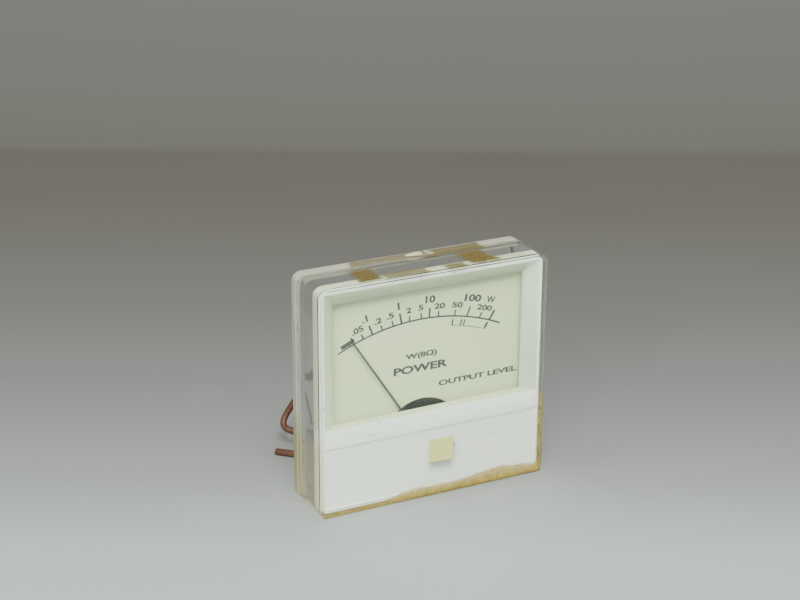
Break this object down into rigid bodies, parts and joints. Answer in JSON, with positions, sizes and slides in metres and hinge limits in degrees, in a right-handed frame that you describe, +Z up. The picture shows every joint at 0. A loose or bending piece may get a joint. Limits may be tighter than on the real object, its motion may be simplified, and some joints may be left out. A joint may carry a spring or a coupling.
{
  "type": "panel meter",
  "caption": "Square moving-coil panel power meter in a clear plastic case, with a white bevelled mask, pale green watt scale, swinging needle and loose brown leads.",
  "frame": {"origin": "on the underside of the case, halfway across its width and halfway through its depth", "axes": "+X to the right seen from the front, the dial looks to -Y, +Z up"},
  "size_m": [0.0724, 0.0495, 0.062],
  "materials": {
    "front_cover": "clear moulded plastic",
    "rear_base": "clear moulded plastic",
    "mask_frame": "satin",
    "paper_label": "matt",
    "dial_plate": "matt print",
    "dial_screws": "zinc plated",
    "movement_frame": "moulded",
    "frame_screws": "zinc plated",
    "yoke_ring": "blackened soft iron",
    "core_magnet": "ground alloy",
    "core_webs": "sawn",
    "front_jewel_screw": "turned",
    "rear_jewel_screw": "turned",
    "jewel_nut": "turned",
    "front_bridge": "stamped",
    "rear_bridge": "stamped",
    "bridge_posts": "turned",
    "bridge_screws": "zinc plated",
    "abutment_washer": "vulcanised fibre",
    "front_abutment": "stamped",
    "pointer_stops": "sleeved pins",
    "terminal_studs": "plated",
    "terminal_nuts": "plated",
    "solder_tags": "tinned",
    "solder_joints": "solder",
    "link_wires": "tinned",
    "lead_a": "brown insulation",
    "lead_b": "brown insulation",
    "coil_former": "thin sheet",
    "coil_winding": "enamelled wire",
    "front_pivot": "hardened",
    "rear_pivot": "hardened",
    "spring_collets": "turned",
    "front_hairspring": "bronze strip",
    "rear_hairspring": "bronze strip",
    "pointer_hub": "stamped",
    "balance_weights": "turned",
    "pointer": "blackened",
    "zero_lever": "stamped",
    "zero_adjuster": "moulded nylon"
  },
  "bodies": {
    "case": {"front_cover": "front_cover", "rear_base": "rear_base", "mask_frame": "mask_frame", "paper_label": "paper_label", "dial_plate": "dial_plate", "dial_screws": "dial_screws", "movement_frame": "movement_frame", "frame_screws": "frame_screws", "yoke_ring": "yoke_ring", "core_magnet": "core_magnet", "core_webs": "core_webs", "front_jewel_screw": "front_jewel_screw", "rear_jewel_screw": "rear_jewel_screw", "jewel_nut": "jewel_nut", "front_bridge": "front_bridge", "rear_bridge": "rear_bridge", "bridge_posts": "bridge_posts", "bridge_screws": "bridge_screws", "abutment_washer": "abutment_washer", "front_abutment": "front_abutment", "pointer_stops": "pointer_stops", "terminal_studs": "terminal_studs", "terminal_nuts": "terminal_nuts", "solder_tags": "solder_tags", "solder_joints": "solder_joints", "link_wires": "link_wires", "lead_a": "lead_a", "lead_b": "lead_b"},
    "needle": {"coil_former": "coil_former", "coil_winding": "coil_winding", "front_pivot": "front_pivot", "rear_pivot": "rear_pivot", "spring_collets": "spring_collets", "front_hairspring": "front_hairspring", "rear_hairspring": "rear_hairspring", "pointer_hub": "pointer_hub", "balance_weights": "balance_weights", "pointer": "pointer"},
    "zero_lever_body": {"zero_lever": "zero_lever"},
    "zero_adjuster_body": {"zero_adjuster": "zero_adjuster"}
  },
  "joints": [
    {"name": "needle_swing", "type": "hinge", "parent": "case", "child": "needle", "pos_m": [-0.0008, -0.00325, 0.014], "axis": [0, 1, 0], "range_deg": [-1.5, 66.6], "stiffness_Nm_per_rad": 0.00002, "deforming": ["front_hairspring", "rear_hairspring"]},
    {"name": "zero_adjust", "type": "hinge", "parent": "case", "child": "zero_adjuster_body", "pos_m": [-0.0008, 0.00775, 0.0055], "axis": [0, 1, 0], "range_deg": [-45, 45]},
    {"name": "zero_lever_swing", "type": "hinge", "parent": "case", "child": "zero_lever_body", "pos_m": [-0.0008, 0.00555, 0.014], "axis": [0, 1, 0], "range_deg": [-3.2, 3.2]}
  ],
  "couplings": [
    {"joint": "zero_lever_swing", "follows": "zero_adjust", "ratio": 0.06999}
  ]
}
